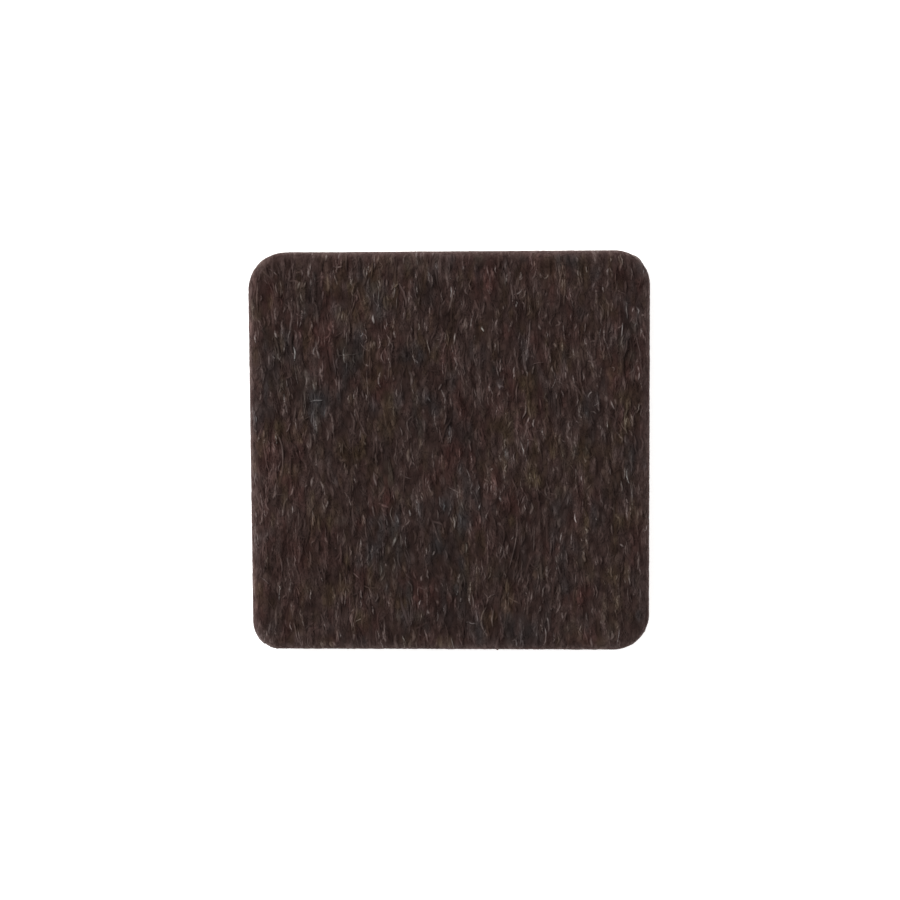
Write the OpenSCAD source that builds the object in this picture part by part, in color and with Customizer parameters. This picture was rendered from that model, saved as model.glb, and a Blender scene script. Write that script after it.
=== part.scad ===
// Square stick-on felt furniture slider, lying on its release liner with the felt face up.
// Origin: centre of the liner's underside. +Z is up through the felt, +Y runs along the felt's fibres.
// The stack, from the bottom: release liner, mounting adhesive, tape carrier, felt-side adhesive, felt.

/* [Pad] */
// Width of the felt at its widest, across the fibres
pad_w = 35; // [20:0.5:60]
// Length of the felt at its widest, along the fibres
pad_l = 35; // [20:0.5:60]
// Radius of the felt's upright corners, seen from above
corner_r = 3; // [2:0.1:6]
// Thickness of the felt
felt_t = 3; // [2.2:0.1:6]

/* [Cut edge] */
// Radius of the shoulder that the cutting die drags down round the felt face, at most half of corner_r
shoulder_r = 0.9; // [0.4:0.05:1.4]
// How far the felt wall springs out past the cut line in the tape
spring_out = 0.15; // [0.05:0.01:0.4]
// Height over which the wall springs out, above the felt's underside
spring_h = 1; // [0.5:0.05:1.6]

/* [Tape] */
// Thickness of the adhesive that bonds the felt to the carrier
felt_glue_t = 0.06; // [0.03:0.01:0.15]
// Thickness of the tissue carrier in the middle of the tape
carrier_t = 0.04; // [0.02:0.01:0.12]
// Thickness of the adhesive that sticks to the furniture
mount_glue_t = 0.06; // [0.03:0.01:0.2]

/* [Liner] */
// Thickness of the siliconised paper liner
liner_t = 0.09; // [0.05:0.01:0.2]

/* [Hidden] */
$fn = 96;

// Outline that the die leaves in the tape and the liner, inside the felt's widest line
cut_w = pad_w - 2 * spring_out;
cut_l = pad_l - 2 * spring_out;
cut_r = corner_r - spring_out;

// Underside of each layer above the liner
mount_glue_z = liner_t;
carrier_z = mount_glue_z + mount_glue_t;
felt_glue_z = carrier_z + carrier_t;
felt_z = felt_glue_z + felt_glue_t;

// Radius of the arc that leaves the cut line at the underside and is upright at spring_h
spring_arc_r = (pow(spring_h, 2) + pow(spring_out, 2)) / (2 * spring_out);

// Rectangle of a given size with round corners, centred
module rounded_rectangle(width, length, radius) {
    square([width - 2 * radius, length], center = true);
    square([width, length - 2 * radius], center = true);
    for (x = [-1, 1], y = [-1, 1])
        translate([x * (width / 2 - radius), y * (length / 2 - radius)])
            circle(radius);
}

// One sheet of the stack, cut to the die's outline
module cut_sheet(bottom, thickness) {
    translate([0, 0, bottom])
        linear_extrude(thickness)
            rounded_rectangle(cut_w, cut_l, cut_r);
}

// Section of the felt's edge, drawn outwards from the axis of a corner:
// the face with its dragged-down shoulder, the upright wall, and the foot that the tape holds in
module felt_edge_section() {
    square([corner_r - shoulder_r, felt_t]);
    translate([corner_r - shoulder_r, felt_t - shoulder_r])
        circle(shoulder_r);
    translate([0, spring_h])
        square([corner_r, felt_t - shoulder_r - spring_h]);
    intersection() {
        square([corner_r + spring_out, spring_h]);
        translate([corner_r, spring_h])
            translate([-spring_arc_r, 0])
                circle(spring_arc_r);
    }
}

// Carries the section in children() round a rounded rectangle and fills the middle to the height given
module swept_slab(width, length, radius, height) {
    run_x = width - 2 * radius;
    run_y = length - 2 * radius;
    for (x = [0, 1], y = [0, 1])
        mirror([x, 0, 0])
            mirror([0, y, 0])
                translate([run_x / 2, run_y / 2, 0])
                    rotate_extrude(angle = 90)
                        children();
    for (x = [0, 1])
        mirror([x, 0, 0])
            translate([run_x / 2, run_y / 2, 0])
                rotate([90, 0, 0])
                    linear_extrude(run_y)
                        children();
    for (y = [0, 1])
        mirror([0, y, 0])
            translate([-run_x / 2, run_y / 2, 0])
                rotate([90, 0, 90])
                    linear_extrude(run_x)
                        children();
    translate([-run_x / 2, -run_y / 2, 0])
        cube([run_x, run_y, height]);
}

module release_liner() {
    color("tan")
        cut_sheet(0, liner_t);
}

module mounting_adhesive() {
    color("wheat")
        cut_sheet(mount_glue_z, mount_glue_t);
}

module tape_carrier() {
    color("whitesmoke")
        cut_sheet(carrier_z, carrier_t);
}

module felt_side_adhesive() {
    color("wheat")
        cut_sheet(felt_glue_z, felt_glue_t);
}

module felt_pad() {
    color("#362b28")
        translate([0, 0, felt_z])
            swept_slab(pad_w, pad_l, corner_r, felt_t)
                felt_edge_section();
}

release_liner();
mounting_adhesive();
tape_carrier();
felt_side_adhesive();
felt_pad();
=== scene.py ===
"""Looks of a stick-on felt furniture slider: needle-punched felt fibres, tape, release liner and studio."""

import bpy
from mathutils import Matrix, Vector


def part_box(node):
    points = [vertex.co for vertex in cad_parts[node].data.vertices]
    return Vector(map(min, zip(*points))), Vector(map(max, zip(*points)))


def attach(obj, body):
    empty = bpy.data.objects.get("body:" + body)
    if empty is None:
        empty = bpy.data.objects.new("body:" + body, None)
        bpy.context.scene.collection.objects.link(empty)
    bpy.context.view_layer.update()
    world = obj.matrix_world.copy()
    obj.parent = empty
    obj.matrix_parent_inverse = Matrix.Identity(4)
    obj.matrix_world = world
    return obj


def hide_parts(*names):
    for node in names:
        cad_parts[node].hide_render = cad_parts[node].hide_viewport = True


bl_info = {
    "name": "Felt Furniture Slider",
    "version": (1, 0, 0),
    "blender": (4, 5, 0),
    "location": "View3D > Sidebar > Slider",
    "description": "Builds the felt, tape and liner of a stick-on furniture slider round its solids",
    "category": "Object",
}

import math

import bpy
import numpy as np
from bpy.props import (
    FloatProperty,
    FloatVectorProperty,
    IntProperty,
    PointerProperty,
)
from mathutils import Matrix, Vector

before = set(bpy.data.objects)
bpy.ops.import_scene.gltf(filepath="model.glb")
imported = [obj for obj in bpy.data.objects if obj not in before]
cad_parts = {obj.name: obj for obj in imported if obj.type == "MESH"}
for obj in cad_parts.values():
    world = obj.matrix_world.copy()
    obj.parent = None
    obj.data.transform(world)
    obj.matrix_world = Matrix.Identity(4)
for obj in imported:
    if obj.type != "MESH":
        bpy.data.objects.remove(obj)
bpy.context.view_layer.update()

MM = 0.001
TINY = 1e-12
BAKE_MAP = "OFBake"
COLOUR_NAME = "fibre_colour"

# How fast red, green and blue rise where the felt is lighter: partly as paler fibres are greyer, partly
# painted sheen, lighter places taking the grey of a highlight on the fibres
GREYING_AND_SHEEN = np.array([1.0, 1.19, 1.235])

# Smooth noises: cell across the fibres and along them in millimetres, and seed.
# The layers' cell lies round the rim and down the wall
NOISES = {
    "streaks": (0.3, 0.85, 11),
    "clumps": (0.9, 1.7, 12),
    "layers": (1.1, 0.3, 13),
    "broad tint": (2.9, 4.3, 21),
    "mottle": (2.8, 2.8, 25),
    "fine tint": (0.5, 1.2, 31),
    "flow": (2.5, 3.5, 41),
    "middle tint": (1.3, 2.1, 51),
}
NOISE_SIDE = 128
FACE_SEED = 101
EDGE_SEED = 201

# The dense felt: parts of its tufts, its layers on the wall, and how the mat thins there
TUFT_STREAKS = 0.8
TUFT_CLUMPS = 0.2
LAYER_RELIEF = 0.2
WALL_THINNING = 0.6
RIM_FULL = 0.1 * MM
RIM_FADE = 0.38 * MM
RIM_STEPS = 60

# The felt's colours: each tint's broad and fine parts, and what makes a place lighter
TINTS = (("red_brown", 0.52, 0.42), ("olive", 0.17, 0.66), ("slate", 0.52, 0.45))
MIDDLE_TINT = 0.5
# Painted shade in part: tufts lighter and hollows darker with the tuft relief, partly the blend's own tone
TUFT_TONE_AND_SHADE = 0.86
MOTTLE_LIGHT = 0.15
# Painted light: the felt made lighter towards its -X edge, on the side of the key light, fading inwards over
# the second distance
PAINTED_SIDE_LIGHT = 0.32
PAINTED_SIDE_FADE = 1.3 * MM
EDGE_LIGHT = 0.5
WALL_TUFTS = 0.2
PALE_LEAST = 0.06
PALE_MORE = 0.6
PALE_CURVE = 2.5

# All fibres: corners round a fibre, which of them is its crest, and how sizes vary
SIDES = 3
CREST = np.array([1.0, 0.0, 0.0])
END_POWER = 4
WAVE_SIZES = (0.2, 1.4)
LENGTH_SPREAD = (-0.08, 0.4)

# Bake map: the sheet's and the fan's heights, and a fibre's margin, cap centre and cap radius in its cell
SHEET_TOP = 0.96
FAN_LOW = 0.98
CELL_MARGIN = 0.12
CAP_PLACE = 0.05
CAP_RADIUS = 0.04

# Face fibres: places to choose from, pull of the tufts, and how paths and colours vary
CHOICES = 3
TUFT_PULL = 2.8
FACE_REACH = 0.6
FLOW_TURN = math.radians(8)
FLOW_LEAN = math.radians(2)
STRAY_SPREAD = math.radians(42)
STRAY_LENGTH = 0.75
FACE_TURNS = (0.4, 1.5)
RIPPLE_SIZES = (0.0, 0.6)
RIPPLE_SPEED = 2.5
RIM_SINK = 0.85
END_SINK = 0.35
FACE_WIDTHS = (-0.03, 0.25)
FACE_TAPER = 0.5
FACE_OWN = (0.25, 1)
OWN_POWER = 0.375

# Kinds of face fibre. heights are in mat depths, and lighter and uneven are logarithms
FACE_KINDS = {
    "lock": {
        "flatness": 0.14, "rings": 7, "wave": 0.04 * MM, "bow": 0.03, "strays": 0.1,
        "heights": (0.0, 0.4), "lighter": 0.0, "uneven": 0.06, "pale": 0.0, "bloom": 0.9,
    },
    "loop": {
        "flatness": 0.28, "rings": 8, "wave": 0.045 * MM, "bow": 0.05, "strays": 0.15,
        "heights": (0.15, 0.75), "lighter": 0.1, "uneven": 0.3, "pale": 0.15, "bloom": 0.84,
    },
    # Dark strands: painted shade, put where pits and gaps between the fibres lie in shadow
    "dark": {
        "flatness": 0.3, "rings": 7, "wave": 0.03 * MM, "bow": 0.05, "strays": 0.12,
        "heights": (0.4, 1.0), "lighter": -1.15, "uneven": 0.25, "pale": 0.0, "bloom": 0.8,
    },
    # Glints: pale fibres of the blend, partly painted highlights, made bright to stand in for the shine of
    # the fibres under the key light
    "glint": {
        "flatness": 0.6, "rings": 8, "wave": 0.04 * MM, "bow": 0.08, "strays": 0.12,
        "heights": (0.8, 1.9), "lighter": 0.74, "uneven": 0.34, "pale": 0.9, "bloom": 0.7,
    },
    "hair": {
        "flatness": 0.7, "rings": 12, "wave": 0.065 * MM, "bow": 0.05, "strays": 0.14,
        "heights": (0.7, 1.8), "lighter": 0.2, "uneven": 0.3, "pale": 0.6, "bloom": 0.62,
    },
    "fuzz": {
        "flatness": 0.9, "rings": 6, "wave": 0.06 * MM, "bow": 0.1, "strays": 1.0,
        "heights": (1.0, 2.4), "lighter": 0.0, "uneven": 0.08, "pale": 0.05, "bloom": 0.65,
    },
}
FACE_PIECES = {
    "felt_locks_1": "lock",
    "felt_locks_2": "lock",
    "felt_loops_1": "loop",
    "felt_loops_2": "loop",
    "felt_darks": "dark",
    "felt_glints": "glint",
    "felt_hairs": "hair",
    "felt_fuzz_1": "fuzz",
    "felt_fuzz_2": "fuzz",
}

# Cut edge fibres: the height of each piece in the thin mat there, and how paths and colours vary.
# start and highest are shares of the shoulder's turn, and layer is the range of heights in a piece
EDGE_PIECES = {"edge_fibres_1": 0.4, "edge_fibres_2": 0.75}
EDGE_KIND = {
    "flatness": 0.6, "rings": 5, "wave": 0.04 * MM, "slope": math.radians(24), "turns": (0.6, 1.4),
    "start": 0.45, "highest": 0.3, "clear": 0.05 * MM, "layer": 0.3, "mat": 0.4, "sink": 0.6,
    "widths": (-0.05, 0.25), "taper": 0.45, "lighter": 0.0, "uneven": 0.25, "pale": 0.05,
    "own": (0.4, 1), "bloom": 0.5,
}

# Studio: picture and sensor, the floor's side, steps and place, and the soft light
IMAGE_SIDE = 900
SENSOR_WIDTH = 36
FLOOR_SIDE = 4.0
FLOOR_SHARES = 200
FLOOR_RINGS = 12
FLOOR_NEAR = 0.5 * MM
FLOOR_TUCK = 0.6 * MM
FLOOR_DROP = 0.01 * MM
KEY_PLACE = (-0.44, 0.34, 0.42)
KEY_SIDE = 0.28


def length(name, description, millimetres):
    """A length property whose default is given in millimetres."""
    return FloatProperty(
        name=name, description=description, default=millimetres * MM, unit="LENGTH", precision=5
    )


def degrees(name, description, default):
    """An angle property whose default is given in degrees."""
    return FloatProperty(
        name=name, description=description, default=math.radians(default), subtype="ANGLE"
    )


def number(name, description, default, least=10):
    """A property that counts things."""
    return IntProperty(name=name, description=description, default=default, min=least)


def colour(name, description, red, green, blue):
    """A colour property in linear light."""
    return FloatVectorProperty(
        name=name, description=description, default=(red, green, blue), subtype="COLOR", min=0, max=1
    )


class FeltShape(bpy.types.PropertyGroup):
    """Sizes of the felt's cut edge and of its surface."""

    corner_radii: FloatVectorProperty(
        name="Corner radii",
        description="Radius of each upright corner as the felt relaxed after cutting: "
        "+X+Y, -X+Y, -X-Y, +X-Y",
        size=4,
        default=(3.01 * MM, 3.31 * MM, 2.43 * MM, 3.17 * MM),
        unit="LENGTH",
        precision=5,
    )
    shoulder: length("Shoulder", "Radius of the shoulder round the felt face", 0.9)
    spring_height: length("Spring height", "Height over which the wall springs out from the cut line", 1.0)
    mat_depth: length("Mat depth", "Depth of the loose fibres over the dense felt", 0.10)
    tuft_relief: length("Tuft relief", "How far the needled tufts rise and fall", 0.04)
    grid_across: number("Grid across", "Faces across the fibres", 336, 40)
    grid_along: number("Grid along", "Faces along the fibres", 208, 40)


class FibreShape(bpy.types.PropertyGroup):
    """Sizes and numbers of the fibres."""

    lock_count: number("Locks", "Flat locks of fibre on the face, per piece", 3800)
    lock_width: length("Lock width", "Mean width of a lock", 0.38)
    lock_length: length("Lock length", "Mean length of a lock", 1.3)
    loop_count: number("Loops", "Short raised loops on the face, per piece", 2000)
    loop_width: length("Loop width", "Mean width of a loop", 0.36)
    loop_length: length("Loop length", "Mean length of a loop", 1.0)
    # Glints are partly pale fibres, partly painted highlights
    glint_count: number("Glints", "Thin bright fibres on the face", 1900)
    glint_width: length("Glint width", "Mean width of a glint", 0.2)
    glint_length: length("Glint length", "Mean length of a glint", 1.1)
    # Dark strands are painted shade of pits and gaps between the fibres
    dark_count: number("Dark fibres", "Short dark fibres on the face", 1800)
    dark_width: length("Dark width", "Mean width of a dark fibre", 0.3)
    dark_length: length("Dark length", "Mean length of a dark fibre", 0.5)
    hair_count: number("Hairs", "Long loose hairs on the face", 700)
    hair_width: length("Hair width", "Mean width of a hair", 0.18)
    hair_length: length("Hair length", "Mean length of a hair", 2.0)
    fuzz_count: number("Fuzz", "Fine stray hairs on the face, per piece", 6000)
    fuzz_width: length("Fuzz width", "Mean width of a fine stray hair", 0.045)
    fuzz_length: length("Fuzz length", "Mean length of a fine stray hair", 1.3)
    edge_count: number("Edge fibres", "Fibres on the cut edge, per piece", 7000)
    edge_width: length("Edge fibre width", "Mean width of a fibre on the cut edge", 0.075)
    edge_length: length("Edge fibre length", "Mean length of a fibre on the cut edge", 0.8)
    spread: degrees("Spread", "Spread of the fibres about their run", 8)


class FeltColours(bpy.types.PropertyGroup):
    """Colours of the dyed fibre blend."""

    brown: colour("Brown", "Most of the felt", 0.0341, 0.0194, 0.0168)
    red_brown: colour("Red brown", "Warm patches", 0.0424, 0.0174, 0.0148)
    olive: colour("Olive", "Mustard patches", 0.0368, 0.0221, 0.0127)
    slate: colour("Slate", "Cold patches", 0.0232, 0.0193, 0.0194)
    # Pale also colours the glints' painted highlights
    pale: colour("Pale", "Lightest fibres", 0.122, 0.085, 0.077)
    # The cut edge's lighter colour: partly its own, partly painted light and sheen on the shoulder
    cut_edge_and_rim_light: colour("Cut edge", "Felt where the die cut it", 0.0775, 0.0464, 0.0425)


class TapeColours(bpy.types.PropertyGroup):
    """Colours of the tape and its liner."""

    adhesive: colour("Adhesive", "Both tacky coats", 0.40, 0.30, 0.17)
    tissue: colour("Tissue", "Carrier between the coats", 0.50, 0.47, 0.41)
    paper: colour("Paper", "Siliconised liner", 0.44, 0.32, 0.18)


class StageLook(bpy.types.PropertyGroup):
    """Camera, lights and floor."""

    distance: length("Distance", "From the camera to the felt", 175.0)
    pitch: degrees("Pitch", "Camera's lean", 5.08)
    yaw: degrees("Yaw", "Camera's turn", -2.76)
    roll: degrees("Roll", "Camera's roll", 0.333)
    pad_pixels: FloatProperty(
        name="Pad pixels", description="Width of the felt in the picture", default=399.15, subtype="PIXEL"
    )
    centre: FloatVectorProperty(
        name="Centre",
        description="The felt's middle in the picture, from its top left",
        size=2,
        default=(449.18, 451.9),
    )
    floor: colour("Floor", "Plain pale floor", 0.92, 0.92, 0.92)
    glow: FloatProperty(name="Glow", description="Light that the floor gives of its own", default=0.6)
    sky: FloatProperty(name="Sky", description="Strength of the even light all round", default=0.66)
    key: FloatProperty(name="Key", description="Power of the large soft light", default=3.8, unit="POWER")


class Value:
    """A node's output socket. An expression on it adds the Math nodes that work it out."""

    def __init__(self, nodes, socket):
        self.nodes = nodes
        self.socket = socket

    def maths(self, operation, first, second):
        """One Math node."""
        return self.nodes.add("ShaderNodeMath", {"operation": operation}, {0: first, 1: second})

    def __add__(self, other):
        return self.maths("ADD", self, other)

    def __sub__(self, other):
        return self.maths("SUBTRACT", self, other)

    def __rsub__(self, other):
        return self.maths("SUBTRACT", other, self)

    def __mul__(self, other):
        return self.maths("MULTIPLY", self, other)

    __radd__ = __add__
    __rmul__ = __mul__


class Nodes:
    """Adds nodes to one node tree."""

    def __init__(self, tree):
        self.tree = tree
        tree.nodes.clear()

    def add(self, kind, settings=(), sockets=(), output=0):
        """A node of this kind: its settings are set first, then its sockets get values or links."""
        node = self.tree.nodes.new(kind)
        for name, value in dict(settings).items():
            if name == "stops":
                self.set_stops(node.color_ramp.elements, value)
            else:
                setattr(node, name, value)
        for name, value in dict(sockets).items():
            if isinstance(value, Value):
                self.tree.links.new(value.socket, node.inputs[name])
            else:
                node.inputs[name].default_value = value
        return Value(self, node.outputs[output]) if node.outputs else node

    @staticmethod
    def set_stops(elements, stops):
        """A ramp's stops, as pairs of place and colour."""
        while len(elements) < len(stops):
            elements.new(1)
        for element, (place, shade) in zip(elements, stops):
            element.position = place
            element.color = (*shade, 1)

    def noise(self, scale, detail, roughness=0.5, distortion=0.0):
        """Noise from 0 to 1 in Object coordinates, with about scale features to a metre on X, Y and Z."""
        here = self.add("ShaderNodeTexCoord", output="Object")
        return self.add("ShaderNodeTexNoise", {}, {
            "Vector": self.add("ShaderNodeMapping", {}, {"Vector": here, "Scale": scale}),
            "Scale": 1.0,
            "Detail": detail,
            "Roughness": roughness,
            "Distortion": distortion,
        })

    def shade(self, factor, stops):
        """A colour picked from stops by factor."""
        return self.add("ShaderNodeValToRGB", {"stops": stops}, {"Fac": factor})

    def multiply(self, first, second):
        """The product of two colours."""
        settings = {"data_type": "RGBA", "blend_type": "MULTIPLY"}
        return self.add("ShaderNodeMix", settings, {0: 1.0, 6: first, 7: second}, output=2)

    def bump(self, height, strength, distance):
        """A normal that follows a height."""
        sockets = {"Height": height, "Strength": strength, "Distance": distance}
        return self.add("ShaderNodeBump", {}, sockets)

    def surface(self, sockets):
        """Ends the tree with one Principled surface."""
        shader = self.add("ShaderNodeBsdfPrincipled", {}, sockets)
        self.add("ShaderNodeOutputMaterial", {}, {"Surface": shader})


def material(name):
    """A new material and the nodes to fill it with."""
    made = bpy.data.materials.new(name)
    made.use_nodes = True
    return made, Nodes(made.node_tree)


def tinted(shade, factor):
    """A colour made lighter or darker."""
    return tuple(min(1.0, part * factor) for part in shade)


def smooth_noise(x, y, name, variant=0):
    """Smooth noise from -1 to 1: random numbers on a lattice of cells, blended by 3f^2 - 2f^3 in between.

    Each variant has the same cells and other numbers."""
    cell_x, cell_y, seed = NOISES[name]
    table = np.random.default_rng(seed + variant).uniform(-1, 1, (NOISE_SIDE, NOISE_SIDE))
    across, along = x / (cell_x * MM), y / (cell_y * MM)
    left, low = np.floor(across).astype(int), np.floor(along).astype(int)
    fx, fy = across - left, along - low
    fx, fy = fx * fx * (3 - 2 * fx), fy * fy * (3 - 2 * fy)
    right, high = (left + 1) % NOISE_SIDE, (low + 1) % NOISE_SIDE
    left, low = left % NOISE_SIDE, low % NOISE_SIDE
    lower = table[left, low] * (1 - fx) + table[right, low] * fx
    upper = table[left, high] * (1 - fx) + table[right, high] * fx
    return lower * (1 - fy) + upper * fy


class Skin:
    """The felt's outside: flat face, round shoulder, upright wall and a foot drawn in to the cut line.

    A place on it is a foot, which is a point of the flat face, a normal that points level out of the edge,
    and a depth, which is how far down over the edge the place lies, measured along the felt. On the flat
    face depth is negative: it is how far inside the rim the place lies."""

    def __init__(self, shape):
        low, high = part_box("felt_pad")
        self.half = np.array([high.x, high.y])
        self.bottom, self.top = low.z, high.z
        self.spring_out = high.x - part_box("release_liner")[1].x
        self.spring_height = shape.spring_height
        self.shoulder = shape.shoulder
        self.flat = self.half - self.shoulder
        self.wall = self.top - self.bottom - self.shoulder
        self.turn = self.shoulder * math.pi / 2
        self.foot_depth = self.turn + self.wall
        self.radii = np.array(shape.corner_radii) - self.shoulder
        self.mat_depth = shape.mat_depth
        self.tuft_relief = shape.tuft_relief

    def corner(self, x, y):
        """Radius of the flat face's corner in the quadrant of each point."""
        return np.where(
            y >= 0,
            np.where(x >= 0, self.radii[0], self.radii[1]),
            np.where(x >= 0, self.radii[3], self.radii[2]),
        )

    def place(self, x, y):
        """Foot, normal and depth of points on a sheet laid flat over the face and folded down at its rim.

        Depth is the distance to the face's rounded outline. Past the rim the normal points away from it."""
        radius = self.corner(x, y)
        over_x = np.abs(x) - (self.flat[0] - radius)
        over_y = np.abs(y) - (self.flat[1] - radius)
        out_x, out_y = np.maximum(over_x, 0), np.maximum(over_y, 0)
        reach = np.hypot(out_x, out_y)
        depth = reach + np.minimum(np.maximum(over_x, over_y), 0) - radius
        away = np.stack([np.sign(x) * out_x, np.sign(y) * out_y], -1) / np.maximum(reach, TINY)[..., None]
        foot = np.stack([x, y], -1) - away * np.maximum(depth, 0)[..., None]
        return foot, away, depth

    def rim(self, share):
        """Foot and normal at a share, from 0 to 1, of the way round the face's rounded outline."""
        turn = np.linspace(0, math.pi / 2, RIM_STEPS)
        signs = np.array([(1, 1), (-1, 1), (-1, -1), (1, -1)])
        quarter = np.arange(4)[:, None] * math.pi / 2 + turn
        away = np.stack([np.cos(quarter), np.sin(quarter)], -1)
        centre = signs * (self.flat - self.radii[:, None])
        foot = centre[:, None] + away * self.radii[:, None, None]
        away, foot = away.reshape(-1, 2), foot.reshape(-1, 2)
        away, foot = np.vstack([away, away[:1]]), np.vstack([foot, foot[:1]])
        walked = np.concatenate([[0], np.cumsum(np.hypot(*np.diff(foot, axis=0).T))])
        at = (share % 1) * walked[-1]
        foot = np.stack([np.interp(at, walked, foot[:, k]) for k in range(2)], -1)
        away = np.stack([np.interp(at, walked, away[:, k]) for k in range(2)], -1)
        return foot, away / np.linalg.norm(away, axis=-1, keepdims=True)

    def rim_length(self):
        """Length of the face's rounded outline."""
        straight = 4 * self.flat.sum() - 2 * self.radii.sum()
        return straight + self.radii.sum() * math.pi / 2

    def point(self, foot, away, depth, offset):
        """Points at a height of offset over the skin, and the skin's own normals there.

        The depth turns round the shoulder by depth / radius, then runs straight down the wall. Near the
        bottom the wall is drawn in by the square of the distance left."""
        angle = np.clip(depth / self.shoulder, 0, math.pi / 2)
        down = np.maximum(depth - self.turn, 0)
        left = np.clip((self.spring_height - self.wall + down) / self.spring_height, 0, 1)
        out = (self.shoulder + offset) * np.sin(angle) - self.spring_out * left**2
        up = self.top - self.shoulder + (self.shoulder + offset) * np.cos(angle) - down
        level = foot + away * out[..., None]
        normal = np.concatenate([away * np.sin(angle)[..., None], np.cos(angle)[..., None]], -1)
        return np.concatenate([level, up[..., None]], -1), normal

    def tufts(self, x, y):
        """How the needled tufts rise and fall, from -1 to 1: streaks along Y in larger clumps."""
        return TUFT_STREAKS * smooth_noise(x, y, "streaks") + TUFT_CLUMPS * smooth_noise(x, y, "clumps")

    def rim_share(self, depth):
        """How far a depth is over the rim: 1 on the wall, fading out over the face.

        It is the exponential of the distance in from the felt's outline, and is full for a little way in."""
        angle = np.clip(depth / self.shoulder, 0, math.pi / 2)
        inside = self.shoulder * (1 - np.sin(angle)) + np.maximum(-depth, 0)
        return np.minimum(np.exp(-(inside - RIM_FULL) / RIM_FADE), 1)

    def relief(self, foot, depth, x, y):
        """Height of the dense felt under the loose fibres: tufts on the face, faint layers on the wall."""
        layers = smooth_noise(foot.sum(-1), depth, "layers")
        wall = self.rim_share(depth)
        lift = self.tufts(x, y) * (1 - wall) + LAYER_RELIEF * layers * wall
        return self.tuft_relief * lift - self.mat_depth * (1 - WALL_THINNING * wall)


def new_piece(name, points, loops, starts, look, body, uv):
    """A mesh object at the origin from arrays of points, face corners and each face's first corner."""
    mesh = bpy.data.meshes.new(name)
    mesh.vertices.add(len(points))
    mesh.vertices.foreach_set("co", points.astype(np.float32).ravel())
    mesh.loops.add(len(loops))
    mesh.loops.foreach_set("vertex_index", loops.astype(np.int32))
    mesh.polygons.add(len(starts))
    mesh.polygons.foreach_set("loop_start", starts.astype(np.int32))
    mesh.polygons.foreach_set("use_smooth", np.ones(len(starts), bool))
    mesh.uv_layers.new(name=BAKE_MAP).data.foreach_set("uv", uv.astype(np.float32).ravel())
    mesh.update(calc_edges=True)
    if mesh.validate():
        raise RuntimeError(f"{name} had faces that are not valid")
    mesh.materials.append(look)
    piece = bpy.data.objects.new(name, mesh)
    bpy.context.scene.collection.objects.link(piece)
    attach(piece, body)
    return piece


def hold_shades(piece, shades):
    """Keeps a colour for every point of a piece."""
    held = piece.data.attributes.new(COLOUR_NAME, "FLOAT_VECTOR", "POINT")
    held.data.foreach_set("vector", shades.astype(np.float32).ravel())


def felt_slab(skin, palette, across, along):
    """The dense felt as one closed surface: points, face corners, first corners, bake map and colours.

    A square grid of two parameters is a sheet laid flat over the pad. In the corners, the square between
    the face's corner centre and the grid's rim becomes a quarter disc: each point moves towards the centre
    until its distance is the larger of its two coordinates. The sheet is then folded over the shoulder and
    down the wall, with the tufts' relief, and a fan closes the underside."""
    reach = skin.flat + skin.foot_depth
    grid = np.stack(np.meshgrid(
        np.linspace(-reach[0], reach[0], across + 1),
        np.linspace(-reach[1], reach[1], along + 1),
        indexing="ij",
    ), -1)
    radius = skin.corner(grid[..., 0], grid[..., 1])
    centre = np.sign(grid) * (skin.flat - radius[..., None])
    over = np.abs(grid) - np.abs(centre)
    far = np.hypot(over[..., 0], over[..., 1])[..., None]
    squeeze = over.max(-1, keepdims=True) / np.maximum(far, TINY)
    in_corner = (over > 0).all(-1, keepdims=True)
    sheet = np.where(in_corner, centre + (grid - centre) * squeeze, grid)
    x, y = sheet[..., 0], sheet[..., 1]
    foot, away, depth = skin.place(x, y)
    depth = np.minimum(depth, skin.foot_depth)
    points = skin.point(foot, away, depth, skin.relief(foot, depth, x, y))[0]
    shades = felt_shades(skin, palette, x, y, depth).reshape(-1, 3)
    shades = np.vstack([shades, shades[:1]])

    index = np.arange(points[..., 0].size).reshape(across + 1, along + 1)
    quads = np.stack([index[:-1, :-1], index[1:, :-1], index[1:, 1:], index[:-1, 1:]], -1).reshape(-1, 4)
    rim = np.concatenate([index[:-1, 0], index[-1, :-1], index[:0:-1, -1], index[0, :0:-1]])
    middle = index.size
    fan = np.stack([np.roll(rim, -1), rim, np.full_like(rim, middle)], -1)
    points = np.vstack([points.reshape(-1, 3), [[0, 0, skin.bottom]]])
    points[rim, 2] = skin.bottom

    flat = ((grid / reach + 1) / 2 * np.array([1, SHEET_TOP])).reshape(-1, 2)
    shares = np.arange(len(rim)) / len(rim)
    step = 1 / len(rim)
    fan_map = np.stack([
        np.stack([shares + step, np.full_like(shares, FAN_LOW)], -1),
        np.stack([shares, np.full_like(shares, FAN_LOW)], -1),
        np.stack([shares + step / 2, np.ones_like(shares)], -1),
    ], 1)
    uv = np.vstack([flat[quads.ravel()], fan_map.reshape(-1, 2)])
    loops = np.concatenate([quads.ravel(), fan.ravel()])
    starts = np.concatenate([np.arange(len(quads)) * 4, quads.size + np.arange(len(fan)) * 3])
    return points, loops, starts, uv, shades


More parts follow.
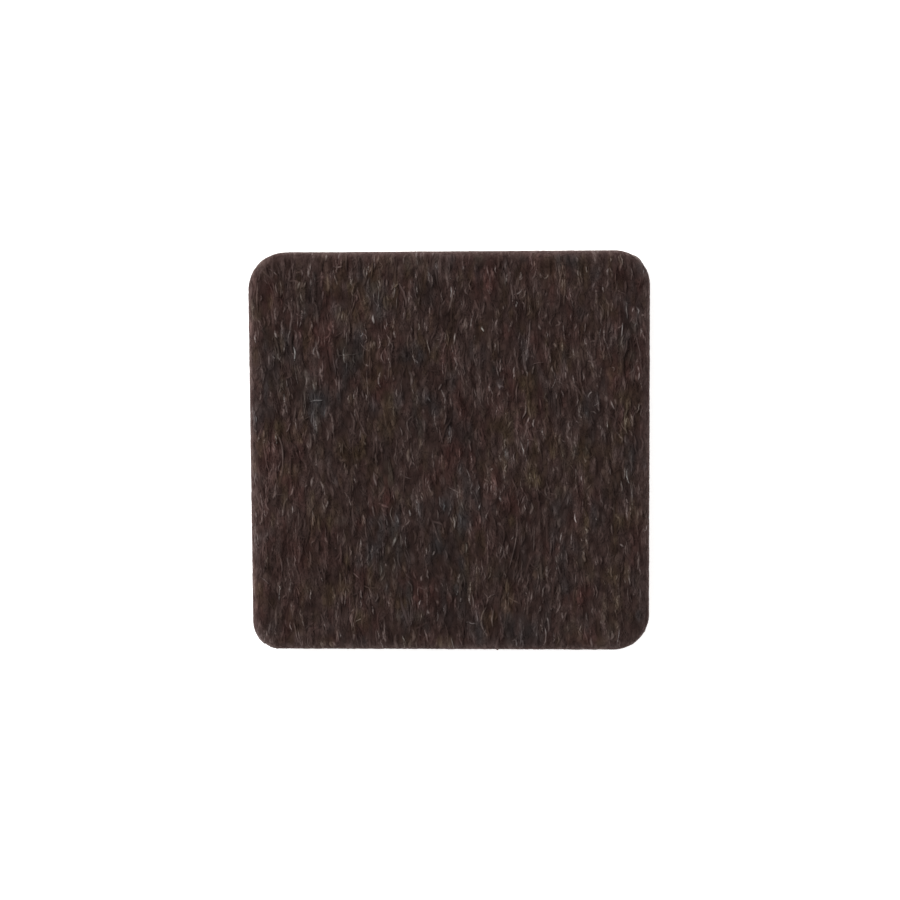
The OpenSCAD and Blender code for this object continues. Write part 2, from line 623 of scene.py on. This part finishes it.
def strands(paths, normals, radii, flatness, bloom):
    """Closed fibres: a small flattened polygon carried along each path, with both ends capped.

    paths and normals are fibres x rings x 3, and radii is fibres x rings. At each ring the corners lie at
    equal angles round the path's direction, and flatness scales their height. Shading normals lean from
    the fibre's own towards the felt's by bloom, as a tuft of hairs too fine to draw would scatter light.
    The bake map gives every fibre a cell of its own."""
    count, rings = radii.shape
    run = np.gradient(paths, axis=1)
    run /= np.linalg.norm(run, axis=-1, keepdims=True)
    aside = np.cross(run, normals)
    aside /= np.maximum(np.linalg.norm(aside, axis=-1, keepdims=True), TINY)
    upward = np.cross(aside, run) * flatness
    turn = np.arange(SIDES) * 2 * math.pi / SIDES
    angle = turn + math.pi / 2
    ring = aside[:, :, None] * np.cos(angle)[:, None] + upward[:, :, None] * np.sin(angle)[:, None]
    points = paths[:, :, None] + ring * radii[:, :, None, None]
    soft = bloom * normals[:, :, None] + (1 - bloom) * ring / np.linalg.norm(ring, axis=-1, keepdims=True)
    soft /= np.linalg.norm(soft, axis=-1, keepdims=True)

    index = np.arange(count * rings * SIDES).reshape(count, rings, SIDES)
    turned = np.roll(index, -1, axis=2)
    quads = np.stack([index[:, :-1], index[:, 1:], turned[:, 1:], turned[:, :-1]], -1).reshape(-1, 4)
    caps = np.concatenate([index[:, 0], index[:, -1, ::-1]])

    cells = math.ceil(math.sqrt(count))
    corner = np.stack([np.arange(count) % cells, np.arange(count) // cells], -1) / cells
    k, j = np.meshgrid(np.arange(rings - 1), np.arange(SIDES), indexing="ij")
    flat = np.stack([np.stack([k + a, j + b], -1) for a, b in ((0, 0), (1, 0), (1, 1), (0, 1))], 2)
    flat = CELL_MARGIN + (1 - 2 * CELL_MARGIN) * flat / np.array([rings - 1, SIDES])
    cap = CAP_PLACE + CAP_RADIUS * np.stack([np.cos(turn), np.sin(turn)], -1)
    uv = np.concatenate([
        (corner[:, None, None, None] + flat[None] / cells).reshape(-1, 2),
        (corner[:, None] + cap / cells).reshape(-1, 2),
        (corner[:, None] + (1 - cap) / cells).reshape(-1, 2),
    ])
    loops = np.concatenate([quads.ravel(), caps.ravel()])
    starts = np.concatenate([np.arange(len(quads)) * 4, quads.size + np.arange(len(caps)) * SIDES])
    return points.reshape(-1, 3), loops, starts, uv, soft.reshape(-1, 3)


def fibre_piece(name, paths, normals, radii, kind, shades, mat, own, look):
    """One object of many fibres.

    A fibre's own colour lies along its crest by a share at each ring, own, and fades into the mat's at its
    sides, where loose fibres cover it."""
    points, loops, starts, uv, soft = strands(paths, normals, radii, kind["flatness"], kind["bloom"])
    piece = new_piece(name, points, loops, starts, look, "slider", uv)
    piece.data.normals_split_custom_set_from_vertices(soft)
    own = own[:, :, None, None] * CREST[:, None]
    hold_shades(piece, mat[:, :, None] * (1 - own) + shades[:, None, None] * own)


def felt_shades(skin, palette, x, y, depth):
    """The felt's colour at each place: brown, with patches of red brown, olive and slate.

    Three noises for each tint, from a few millimetres down to half of one, say how much of it there is.
    Tufts are lighter than the hollows between them: partly the blend's tone, partly painted shade in the
    hollows of the tuft relief. A broad mottle adds to that, and the felt gets lighter near its -X edge,
    which is painted light on the side of the key light. The cut edge has a lighter colour, partly its own
    and partly painted light and sheen on the shoulder. The tufts show in it round the shoulder and fade out
    down the wall."""
    shade = np.broadcast_to(np.array(palette.brown), (*x.shape, 3))
    for variant, (tint, broad, fine) in enumerate(TINTS):
        patch = broad * smooth_noise(x, y, "broad tint", variant)
        patch += MIDDLE_TINT * smooth_noise(x, y, "middle tint", variant)
        patch += fine * smooth_noise(x, y, "fine tint", variant)
        share = np.clip(patch, 0, 1)[..., None]
        shade = shade * (1 - share) + np.array(getattr(palette, tint)) * share
    tufts = skin.tufts(x, y)
    # Tufts lighter, hollows darker: partly tone, partly painted shade in the hollows
    light = TUFT_TONE_AND_SHADE * tufts + MOTTLE_LIGHT * smooth_noise(x, y, "mottle")
    # Painted light: lighter towards the -X edge, the side of the key light
    light += PAINTED_SIDE_LIGHT * np.exp(-(skin.half[0] + x) / PAINTED_SIDE_FADE)
    rim = skin.rim_share(depth)[..., None]
    fade = np.clip(2 - 2 * depth / skin.turn, WALL_TUFTS, 1)
    # The cut edge colour, partly painted light and sheen on the shoulder, with the tufts in it
    cut_edge_and_rim_light = np.array(palette.cut_edge_and_rim_light) * np.exp(EDGE_LIGHT * (tufts * fade)[..., None] * GREYING_AND_SHEEN)
    return shade * np.exp(light[..., None] * GREYING_AND_SHEEN) * (1 - rim) + cut_edge_and_rim_light * rim


def fibre_shades(shade, palette, kind, random):
    """Colours of fibres from the felt's where they lie: lighter or darker by chance, some of them pale.

    The logarithm of the brightness has a bell curve about a kind's lighter, as wide as its uneven, and
    lighter fibres are greyer. Its pale is the share of fibres that take some of the palest colour."""
    count = len(shade)
    share = PALE_LEAST + PALE_MORE * random.random(count) ** PALE_CURVE
    share = (share * (random.random(count) < kind["pale"]))[:, None]
    bright = np.exp(random.normal(kind["lighter"], kind["uneven"], count)[:, None] * GREYING_AND_SHEEN)
    return (shade * (1 - share) + np.array(palette.pale) * share) * bright


def varied(random, mean, spread, count):
    """Sizes about a mean: spread is the middle and the width of the bell curve of their logarithms."""
    return mean * np.exp(random.normal(*spread, count))


def scatter(skin, random, count, reach):
    """Places for count fibres over the face, chosen more often the higher the tuft is there."""
    x = random.uniform(-reach[0], reach[0], CHOICES * count)
    y = random.uniform(-reach[1], reach[1], CHOICES * count)
    weight = np.exp(TUFT_PULL * skin.tufts(x, y))
    keep = random.choice(CHOICES * count, count, replace=False, p=weight / weight.sum())
    return x[keep], y[keep]


def face_paths(skin, random, x, y, size, turn, height, kind):
    """Paths of fibres on the face and over its shoulder, with their normals, ends and places.

    A path is a straight run of a length and a turn about Y, bowed aside by a square term and swung aside by
    two sines, the second of them quicker and smaller. It rises from inside the dense felt to a height in the
    mat and sinks back: ends goes from 0 in the middle to 1 at both ends by the fourth power. Places are the
    path's points on the sheet and their depths."""
    count = len(x)
    t = np.linspace(-0.5, 0.5, kind["rings"])
    along = size[:, None] * t
    phase = random.uniform(*FACE_TURNS, count)[:, None] * t + random.random(count)[:, None]
    swing = (kind["wave"] * random.uniform(*WAVE_SIZES, count))[:, None] * np.sin(2 * math.pi * phase)
    ripple = (kind["wave"] * random.uniform(*RIPPLE_SIZES, count))[:, None]
    swing += ripple * np.sin(RIPPLE_SPEED * 2 * math.pi * phase[:, ::-1])
    swing += (size * random.normal(0, kind["bow"], count))[:, None] * (4 * t**2 - 0.5)
    px = x[:, None] + along * np.sin(turn)[:, None] + swing * np.cos(turn)[:, None]
    py = y[:, None] + along * np.cos(turn)[:, None] - swing * np.sin(turn)[:, None]
    foot, away, depth = skin.place(px, py)
    depth = np.minimum(depth, skin.turn)
    ends = np.abs(2 * t) ** END_POWER
    mat = skin.mat_depth * (1 - RIM_SINK * skin.rim_share(depth))
    offset = skin.relief(foot, depth, px, py) + mat * (height[:, None] * (1 - ends) - END_SINK * ends)
    return *skin.point(foot, away, depth, offset), ends, (px, py, depth)


def face_fibres(skin, shape, palette, look, sort, name, seed):
    """One piece of fibres of a sort on the face, running mostly along Y."""
    kind = FACE_KINDS[sort]
    count, width, mean = (getattr(shape, f"{sort}_{part}") for part in ("count", "width", "length"))
    random = np.random.default_rng(seed)
    x, y = scatter(skin, random, count, skin.flat + skin.turn * FACE_REACH)
    stray = random.random(count) < kind["strays"]
    flow = FLOW_TURN * smooth_noise(x, y, "flow")
    flow -= flow.mean() + FLOW_LEAN
    turn = flow + random.normal(0, 1, count) * np.where(stray, STRAY_SPREAD, shape.spread)
    size = varied(random, mean, LENGTH_SPREAD, count) * np.where(stray, STRAY_LENGTH, 1)
    height = random.uniform(*kind["heights"], count)
    paths, normals, ends, places = face_paths(skin, random, x, y, size, turn, height, kind)
    radii = varied(random, width / 2, FACE_WIDTHS, count)[:, None] * (1 - FACE_TAPER * ends)
    shade = felt_shades(skin, palette, x, y, np.full_like(x, -skin.half[0]))
    shades = fibre_shades(shade, palette, kind, random)
    mat = felt_shades(skin, palette, *places)
    own = (1 - ends**OWN_POWER) * random.uniform(*FACE_OWN, radii.shape)
    fibre_piece(name, paths, normals, radii, kind, shades, mat, own, look)


def edge_fibres(skin, shape, palette, look, name, level, seed):
    """Fibres of the cut edge, lying mostly level along the wall in the felt's layers.

    Each path runs round the rim and up or down the wall by a random slope, with a sine across it, and rises
    from inside the dense felt and sinks back as on the face."""
    kind = EDGE_KIND
    random = np.random.default_rng(seed)
    count, rings = shape.edge_count, kind["rings"]
    lowest = skin.foot_depth - kind["clear"]
    share = random.random(count)
    depth = random.uniform(skin.turn * kind["start"], lowest, count)
    slope = random.normal(0, kind["slope"], count)
    size = varied(random, shape.edge_length, LENGTH_SPREAD, count)
    t = np.linspace(-0.5, 0.5, rings)
    phase = random.uniform(*kind["turns"], count)[:, None] * t + random.random(count)[:, None]
    swing = kind["wave"] * random.uniform(*WAVE_SIZES, count)[:, None] * np.sin(2 * math.pi * phase)
    along = size[:, None] * t
    walked = along * np.cos(slope)[:, None] - swing * np.sin(slope)[:, None]
    depths = depth[:, None] + along * np.sin(slope)[:, None] + swing * np.cos(slope)[:, None]
    depths = np.clip(depths, skin.turn * kind["highest"], lowest)
    foot, away = skin.rim(share[:, None] + walked / skin.rim_length())
    sheet = foot + away * depths[..., None]
    height = random.uniform(level - kind["layer"], level, count)
    ends = np.abs(2 * t) ** END_POWER
    offset = skin.relief(foot, depths, sheet[..., 0], sheet[..., 1])
    rise = height[:, None] * (1 - ends) - kind["sink"] * ends
    paths, normals = skin.point(foot, away, depths, offset + kind["mat"] * skin.mat_depth * rise)
    radii = varied(random, shape.edge_width / 2, kind["widths"], count)[:, None] * (1 - kind["taper"] * ends)
    mat = felt_shades(skin, palette, sheet[..., 0], sheet[..., 1], depths)
    shades = fibre_shades(mat[:, rings // 2], palette, kind, random)
    own = (1 - ends) * random.uniform(*kind["own"], radii.shape)
    fibre_piece(name, paths, normals, radii, kind, shades, mat, own, look)


def felt_material(name):
    """Dyed polyester felt or its fibres: matt with a soft bloom.

    The colour held at each point goes in fine streaks along the fibres' run, which also stand in relief."""
    made, nodes = material(name)
    own = nodes.add("ShaderNodeAttribute", {"attribute_name": COLOUR_NAME}, output="Color")
    streaks = nodes.noise((6000, 1600, 3000), detail=2, distortion=0.5)
    shade = nodes.shade(streaks, [(0.3, tuple(1 - 0.2 * GREYING_AND_SHEEN)), (0.7, tuple(1 + 0.2 * GREYING_AND_SHEEN))])
    nodes.surface({
        "Base Color": nodes.multiply(own, shade),
        "Roughness": 0.9,
        "Specular IOR Level": 0.03,
        "Sheen Weight": 0.4,
        "Sheen Roughness": 0.5,
        "Sheen Tint": (0.9, 0.74, 0.7, 1),
        "Normal": nodes.bump(streaks, 0.8, 0.06 * MM),
    })
    return made


def adhesive_material(shade):
    """Tacky coat: amber, glossy, with faint flow marks."""
    made, nodes = material("tape_adhesive")
    flow = nodes.noise((260, 900, 260), detail=3)
    nodes.surface({
        "Base Color": nodes.shade(flow, [(0.3, tinted(shade, 0.9)), (0.7, tinted(shade, 1.08))]),
        "Roughness": flow * 0.18 + 0.12,
        "Normal": nodes.bump(flow, 0.25, 0.02 * MM),
    })
    return made


def tissue_material(shade):
    """Tissue carrier: soaked fibres, pale grey brown."""
    made, nodes = material("tape_tissue")
    fibres = nodes.noise((1800, 600, 1800), detail=4, roughness=0.7)
    nodes.surface({
        "Base Color": nodes.shade(fibres, [(0.3, tinted(shade, 0.86)), (0.7, tinted(shade, 1.05))]),
        "Roughness": 0.8,
        "Normal": nodes.bump(fibres, 0.4, 0.02 * MM),
    })
    return made


def paper_material(shade):
    """Siliconised kraft paper: cloudy pulp with darker slivers of wood fibre, under a satin coat."""
    made, nodes = material("liner_paper")
    pulp = nodes.noise((420, 420, 420), detail=4, roughness=0.65)
    slivers = nodes.noise((1700, 7000, 1700), detail=3, distortion=0.8)
    cloud = nodes.shade(pulp, [(0.3, tinted(shade, 0.93)), (0.7, tinted(shade, 1.05))])
    wood = nodes.shade(slivers, [(0.28, (0.84, 0.8, 0.74)), (0.46, (1, 1, 1))])
    nodes.surface({
        "Base Color": nodes.multiply(cloud, wood),
        "Roughness": slivers * 0.2 + 0.45,
        "Specular IOR Level": 0.3,
        "Normal": nodes.bump(slivers, 0.15, 0.01 * MM),
    })
    return made


def dress_node(name, look):
    """Gives a solid its finish."""
    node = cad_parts[name]
    node.data.materials.clear()
    node.data.materials.append(look)


class SLIDER_OT_felt_body(bpy.types.Operator):
    """Build the dense felt inside the mat of fibres"""

    bl_idname = "slider.felt_body"
    bl_label = "Felt body"

    def execute(self, context):
        shape, palette = context.scene.slider_felt, context.scene.slider_colours
        skin = Skin(shape)
        points, loops, starts, uv, shades = felt_slab(skin, palette, shape.grid_across, shape.grid_along)
        look = felt_material("felt_ground")
        body = new_piece("felt_body", points, loops, starts, look, "slider", uv)
        hold_shades(body, shades)
        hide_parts("felt_pad")
        return {"FINISHED"}


class SLIDER_OT_face_fibres(bpy.types.Operator):
    """Lay the felt face's locks, loops, dark strands of painted pit shade, glints of pale fibre and painted
    highlight, hairs and fuzz
    """

    bl_idname = "slider.face_fibres"
    bl_label = "Face fibres"

    def execute(self, context):
        scene = context.scene
        skin, shape, palette = Skin(scene.slider_felt), scene.slider_fibres, scene.slider_colours
        look = felt_material("felt_fibre")
        for seed, (name, sort) in enumerate(FACE_PIECES.items(), FACE_SEED):
            face_fibres(skin, shape, palette, look, sort, name, seed)
        return {"FINISHED"}


class SLIDER_OT_edge_fibres(bpy.types.Operator):
    """Lay the fibres of the felt's cut edge"""

    bl_idname = "slider.edge_fibres"
    bl_label = "Edge fibres"

    def execute(self, context):
        scene = context.scene
        skin, shape, palette = Skin(scene.slider_felt), scene.slider_fibres, scene.slider_colours
        look = bpy.data.materials["felt_fibre"]
        for seed, (name, level) in enumerate(EDGE_PIECES.items(), EDGE_SEED):
            edge_fibres(skin, shape, palette, look, name, level, seed)
        return {"FINISHED"}


class SLIDER_OT_tape(bpy.types.Operator):
    """Finish both adhesive coats and the tissue between them"""

    bl_idname = "slider.tape"
    bl_label = "Tape"

    def execute(self, context):
        colours = context.scene.slider_tape
        adhesive = adhesive_material(colours.adhesive)
        dress_node("mounting_adhesive", adhesive)
        dress_node("felt_side_adhesive", adhesive)
        dress_node("tape_carrier", tissue_material(colours.tissue))
        return {"FINISHED"}


class SLIDER_OT_liner(bpy.types.Operator):
    """Finish the release liner"""

    bl_idname = "slider.liner"
    bl_label = "Liner"

    def execute(self, context):
        dress_node("release_liner", paper_material(context.scene.slider_tape.paper))
        return {"FINISHED"}


def add_camera(look):
    """A camera at the photograph's angle: the pad, seen from distance, leans by pitch, yaw and roll."""
    low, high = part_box("felt_pad")
    lean = Matrix.Rotation(look.pitch, 3, "X") @ Matrix.Rotation(look.yaw, 3, "Y")
    back = (lean @ Matrix.Rotation(look.roll, 3, "Z")).transposed()
    data = bpy.data.cameras.new("camera")
    camera = bpy.data.objects.new("camera", data)
    bpy.context.scene.collection.objects.link(camera)
    seen = Vector((0, 0, high.z - bpy.context.scene.slider_felt.shoulder))
    camera.matrix_world = Matrix.Translation(seen + back @ Vector((0, 0, look.distance))) @ back.to_4x4()
    data.sensor_width = SENSOR_WIDTH
    data.lens = data.sensor_width * look.pad_pixels * look.distance / (high.x - low.x) / IMAGE_SIDE
    data.shift_x = 0.5 - look.centre[0] / IMAGE_SIDE
    data.shift_y = look.centre[1] / IMAGE_SIDE - 0.5
    data.clip_start = 0.005
    data.clip_end = 20
    bpy.context.scene.camera = camera


def add_softbox(name, place, side, power):
    """A square light at place that faces the pad."""
    data = bpy.data.lights.new(name, "AREA")
    data.shape = "SQUARE"
    data.size = side
    data.energy = power
    lamp = bpy.data.objects.new(name, data)
    bpy.context.scene.collection.objects.link(lamp)
    lamp.location = place
    lamp.rotation_mode = "QUATERNION"
    lamp.rotation_quaternion = (-Vector(place)).to_track_quat("-Z", "Y")


def floor_material(shade, glow):
    """Plain paint with a faint mottle and a light of its own, clear from below."""
    made, nodes = material("floor")
    mottle = nodes.noise((40, 40, 40), detail=3)
    paint = nodes.add("ShaderNodeBsdfPrincipled", {}, {
        "Base Color": nodes.shade(mottle, [(0.3, tinted(shade, 0.995)), (0.7, tinted(shade, 1.005))]),
        "Roughness": 0.8,
        "Specular IOR Level": 0.2,
        "Emission Color": (1, 1, 1, 1),
        "Emission Strength": glow,
    })
    behind = nodes.add("ShaderNodeNewGeometry", output="Backfacing")
    clear = nodes.add("ShaderNodeBsdfTransparent")
    one_way = nodes.add("ShaderNodeMixShader", {}, {"Fac": behind, 1: paint, 2: clear})
    nodes.add("ShaderNodeOutputMaterial", {}, {"Surface": one_way})
    return made


def add_floor(skin, look):
    """A level floor, open under the liner and clear from below, so that the liner's back can be seen.

    Its two parameters are the share of the way round the liner's outline and the distance out from it,
    which starts a little way in under the liner."""
    share, out = np.meshgrid(
        np.arange(FLOOR_SHARES) / FLOOR_SHARES,
        np.geomspace(FLOOR_NEAR, FLOOR_SIDE / 2, FLOOR_RINGS),
        indexing="ij",
    )
    foot, away = skin.rim(share)
    level = foot + away * (out + skin.shoulder - skin.spring_out - FLOOR_TUCK)[..., None]
    points = np.concatenate([level, np.full((*share.shape, 1), -FLOOR_DROP)], -1)
    index = np.arange(share.size).reshape(share.shape)
    turned = np.roll(index, -1, axis=0)
    quads = np.stack([index[:, :-1], index[:, 1:], turned[:, 1:], turned[:, :-1]], -1).reshape(-1, 4)
    mesh = bpy.data.meshes.new("floor")
    mesh.from_pydata(points.reshape(-1, 3), [], quads)
    mesh.materials.append(floor_material(look.floor, look.glow))
    floor = bpy.data.objects.new("floor", mesh)
    bpy.context.scene.collection.objects.link(floor)


class SLIDER_OT_stage(bpy.types.Operator):
    """Set up the floor, the soft light and the camera"""

    bl_idname = "slider.stage"
    bl_label = "Stage"

    def execute(self, context):
        look = context.scene.slider_stage
        add_camera(look)
        add_floor(Skin(context.scene.slider_felt), look)
        add_softbox("key_light", KEY_PLACE, KEY_SIDE, look.key)
        world = bpy.data.worlds.new("studio")
        world.use_nodes = True
        nodes = Nodes(world.node_tree)
        sky = nodes.add("ShaderNodeBackground", {}, {"Color": (1, 1, 1, 1), "Strength": look.sky})
        nodes.add("ShaderNodeOutputWorld", {}, {"Surface": sky})
        context.scene.world = world
        context.scene.view_settings.view_transform = "Standard"
        return {"FINISHED"}


class SLIDER_PT_panel(bpy.types.Panel):
    """The slider's pieces and their sizes"""

    bl_idname = "SLIDER_PT_panel"
    bl_label = "Felt slider"
    bl_space_type = "VIEW_3D"
    bl_region_type = "UI"
    bl_category = "Slider"

    def draw(self, context):
        for made in OPERATORS:
            self.layout.operator(made.bl_idname)
        for name, group in GROUPS.items():
            settings = getattr(context.scene, name)
            box = self.layout.box()
            for prop in group.__annotations__:
                box.prop(settings, prop)


GROUPS = {
    "slider_felt": FeltShape,
    "slider_fibres": FibreShape,
    "slider_colours": FeltColours,
    "slider_tape": TapeColours,
    "slider_stage": StageLook,
}
OPERATORS = (
    SLIDER_OT_stage,
    SLIDER_OT_felt_body,
    SLIDER_OT_face_fibres,
    SLIDER_OT_edge_fibres,
    SLIDER_OT_tape,
    SLIDER_OT_liner,
)
CLASSES = (*GROUPS.values(), *OPERATORS, SLIDER_PT_panel)


def register():
    """Adds the classes and the scene's settings to Blender."""
    for made in CLASSES:
        bpy.utils.register_class(made)
    for name, group in GROUPS.items():
        setattr(bpy.types.Scene, name, PointerProperty(type=group))


def unregister():
    """Takes them away again."""
    for name in GROUPS:
        delattr(bpy.types.Scene, name)
    for made in reversed(CLASSES):
        bpy.utils.unregister_class(made)


def main():
    """Builds everything."""
    register()
    bpy.ops.slider.stage()
    bpy.ops.slider.felt_body()
    bpy.ops.slider.face_fibres()
    bpy.ops.slider.edge_fibres()
    bpy.ops.slider.tape()
    bpy.ops.slider.liner()


if __name__ == "__main__":
    main()
